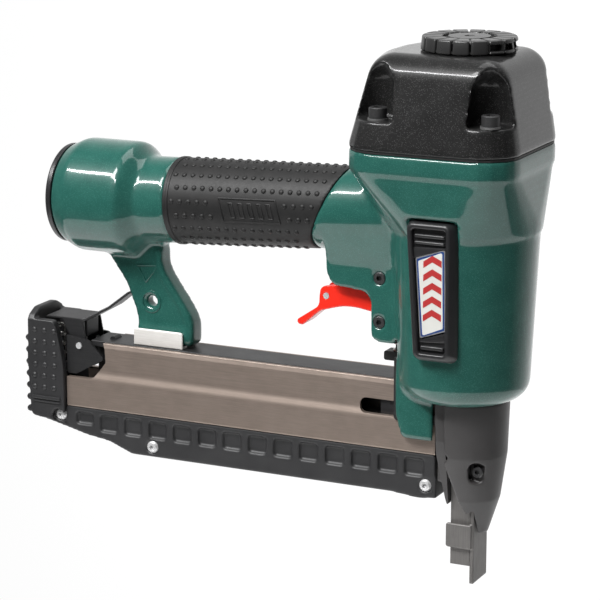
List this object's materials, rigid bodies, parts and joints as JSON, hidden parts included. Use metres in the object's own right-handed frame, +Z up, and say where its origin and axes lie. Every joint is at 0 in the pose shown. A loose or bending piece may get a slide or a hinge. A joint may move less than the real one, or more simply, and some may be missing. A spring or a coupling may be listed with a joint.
{
  "type": "pneumatic nail gun",
  "caption": "Compressed air nailer with a cylinder housing, dotted rubber grip, red trigger, contact foot at the nose and a slide-open bronze magazine.",
  "frame": {"origin": "the point on the drive axis where the nail leaves the contact foot", "axes": "+Z up the drive axis towards the exhaust deflector, +X forwards away from the handle, +Y completes a right-handed frame; the X-Z plane is the middle of the tool"},
  "size_m": [0.2695, 0.08, 0.2614],
  "materials": {
    "green_casting": "gloss teal-green powder coat with a fine fleck",
    "black_coat": "gloss black powder coat with a fine fleck",
    "black_steel": "satin black sheet and oxide steel",
    "zinc_steel": "satin zinc and nickel",
    "tool_steel": "dark hardened steel",
    "spring_steel": "bright spring wire",
    "aluminium": "machined",
    "bronze_anodised": "bronze anodised, finely grained along its length",
    "black_plastic": "satin glass-filled nylon",
    "pusher_plastic": "plain acetal",
    "red_plastic": "bright gloss red",
    "sticker": "printed foil",
    "grip_rubber": "soft black rubber with raised dots",
    "seal_rubber": "plain",
    "brass": "turned"
  },
  "bodies": {
    "tool_body": {"body_casting": "green_casting", "cylinder_cap": "black_coat", "cap_gasket": "seal_rubber", "cap_screws": "black_steel", "cap_washers": "zinc_steel", "deflector_screw": "zinc_steel", "cylinder_sleeve": "aluminium", "sleeve_seals": "seal_rubber", "bumper": "seal_rubber", "head_valve_spring": "spring_steel", "badge_frame": "black_plastic", "badge_plate": "sticker", "grip_sleeve": "grip_rubber", "handle_end_cap": "black_plastic", "end_cap_seal": "seal_rubber", "end_cap_screws": "zinc_steel", "inlet_bushing": "brass", "trigger_pivot_screw": "black_steel", "valve_body": "brass", "valve_seals": "seal_rubber", "valve_spring": "spring_steel", "column_screw": "black_steel", "nose_body": "black_plastic", "nose_cover": "black_plastic", "nose_screws": "zinc_steel", "rear_nose_guide": "tool_steel", "front_nose_guide": "tool_steel", "safety_spring": "spring_steel", "magazine_rail": "black_steel", "leg_shoe": "zinc_steel"},
    "deflector": {"exhaust_deflector": "black_plastic"},
    "drive": {"piston": "aluminium", "piston_ring": "seal_rubber", "driver_blade": "tool_steel"},
    "head_valve": {"head_valve": "black_plastic", "head_valve_ring": "seal_rubber"},
    "trigger": {"trigger": "red_plastic", "trip_pin": "zinc_steel"},
    "trip_lever": {"trip_lever": "zinc_steel"},
    "valve_stem": {"valve_stem": "tool_steel"},
    "safety": {"contact_foot": "tool_steel", "safety_linkage": "black_steel"},
    "magazine": {"magazine_body": "bronze_anodised", "magazine_base": "black_plastic", "base_screws": "zinc_steel", "base_nuts": "zinc_steel", "rear_cover": "black_plastic", "latch_base": "black_steel", "latch_pins": "zinc_steel", "latch_spring": "spring_steel", "pusher_spring": "spring_steel"},
    "latch": {"latch_lever": "black_steel"},
    "pusher": {"pusher": "pusher_plastic"}
  },
  "joints": [
    {"name": "deflector_turn", "type": "hinge", "parent": "tool_body", "child": "deflector", "pos_m": [0, 0, 0.2578], "axis": [0, 0, 1], "continuous": true},
    {"name": "drive_stroke", "type": "slide", "parent": "tool_body", "child": "drive", "axis": [0, 0, -1], "range_m": [0, 0.097]},
    {"name": "head_valve_lift", "type": "slide", "parent": "tool_body", "child": "head_valve", "axis": [0, 0, 1], "range_m": [0, 0.0035], "stiffness_N_per_m": 1500, "springref_m": -0.006, "deforming": ["head_valve_spring"]},
    {"name": "trigger_pull", "type": "hinge", "parent": "tool_body", "child": "trigger", "pos_m": [-0.039, 0, 0.1456], "axis": [0, 1, 0], "range_deg": [0, 8], "stiffness_Nm_per_rad": 1.2, "springref_deg": -17.19, "deforming": ["valve_spring"]},
    {"name": "trip_lever_tilt", "type": "hinge", "parent": "trigger", "child": "trip_lever", "pos_m": [-0.0694, 0, 0.1328], "axis": [0, 1, 0], "range_deg": [-12.5, 0]},
    {"name": "valve_stem_lift", "type": "slide", "parent": "tool_body", "child": "valve_stem", "axis": [0, 0, 1], "range_m": [0, 0.0025]},
    {"name": "safety_lift", "type": "slide", "parent": "tool_body", "child": "safety", "axis": [0, 0, 1], "range_m": [0, 0.008], "stiffness_N_per_m": 800, "springref_m": -0.01, "deforming": ["safety_spring"]},
    {"name": "magazine_open", "type": "slide", "parent": "tool_body", "child": "magazine", "axis": [-1, 0, 0], "range_m": [0, 0.12]},
    {"name": "latch_release", "type": "hinge", "parent": "magazine", "child": "latch", "pos_m": [-0.204, 0, 0.0944], "axis": [0, -1, 0], "range_deg": [0, 15], "stiffness_Nm_per_rad": 0.4, "springref_deg": -20.05, "deforming": ["latch_spring"]},
    {"name": "pusher_travel", "type": "slide", "parent": "magazine", "child": "pusher", "axis": [-1, 0, 0], "range_m": [0, 0.15], "stiffness_N_per_m": 30, "springref_m": -0.12, "deforming": ["pusher_spring"]}
  ],
  "couplings": [
    {"joint": "trip_lever_tilt", "follows": "safety_lift", "rad_per_m": -26.2},
    {"joint": "valve_stem_lift", "follows": "trigger_pull", "m_per_rad": 0.0172}
  ]
}
